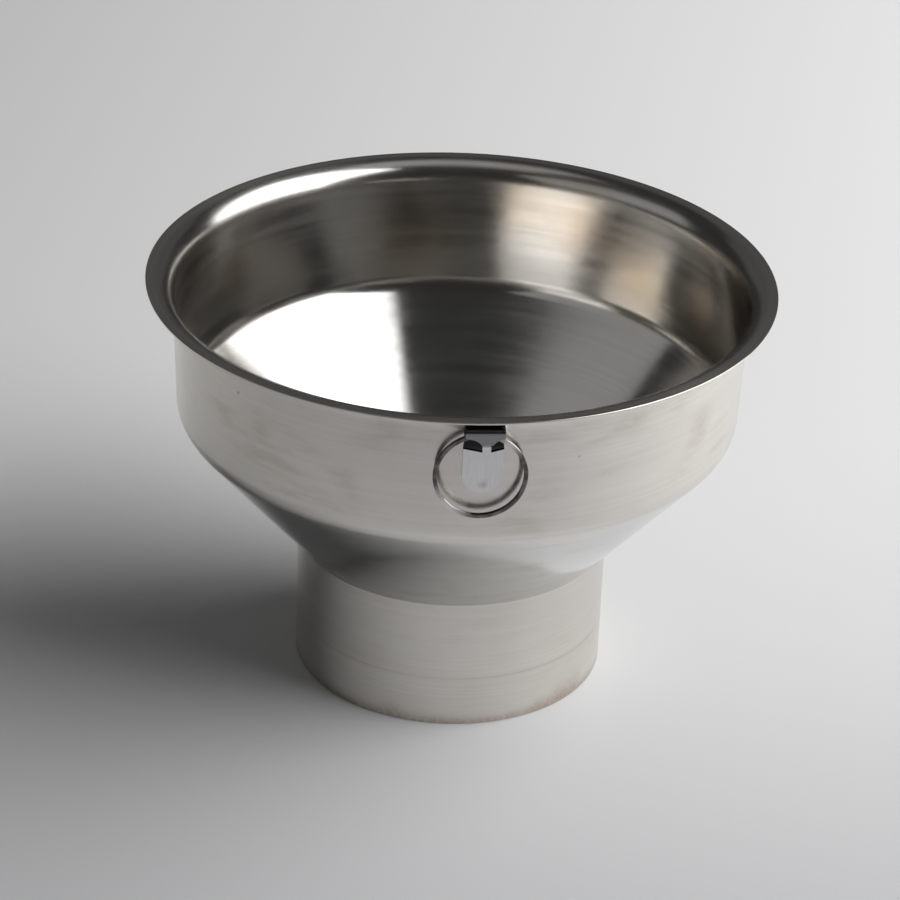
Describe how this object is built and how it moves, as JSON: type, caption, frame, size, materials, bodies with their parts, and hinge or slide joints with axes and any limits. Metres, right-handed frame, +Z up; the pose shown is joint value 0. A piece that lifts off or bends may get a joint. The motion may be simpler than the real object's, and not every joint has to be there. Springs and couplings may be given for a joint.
{
  "type": "canning funnel",
  "caption": "Wide-mouth stainless steel canning funnel: straight neck, conical shoulder, deep bowl with a rolled-out lip, and a split ring in a welded strap to hang it by.",
  "frame": {"origin": "centre of the circle that the neck's bottom edge stands on", "axes": "+Z up along the funnel's axis, from the neck to the rim; the hanging strap faces -Y"},
  "size_m": [0.14, 0.14, 0.095],
  "materials": {
    "funnel_steel": "spun sheet, satin on the bowl wall and neck, nearly mirror-bright on the cone",
    "strap_steel": "satin",
    "ring_steel": "polished"
  },
  "bodies": {
    "funnel": {"funnel_body": "funnel_steel", "hanging_bracket": "strap_steel"},
    "ring": {"split_ring": "ring_steel"}
  },
  "joints": [
    {"name": "ring_swing", "type": "hinge", "parent": "funnel", "child": "ring", "pos_m": [-0.0005, -0.06555, 0.0894], "axis": [-1, 0, 0], "range_deg": [-4, 120]}
  ]
}
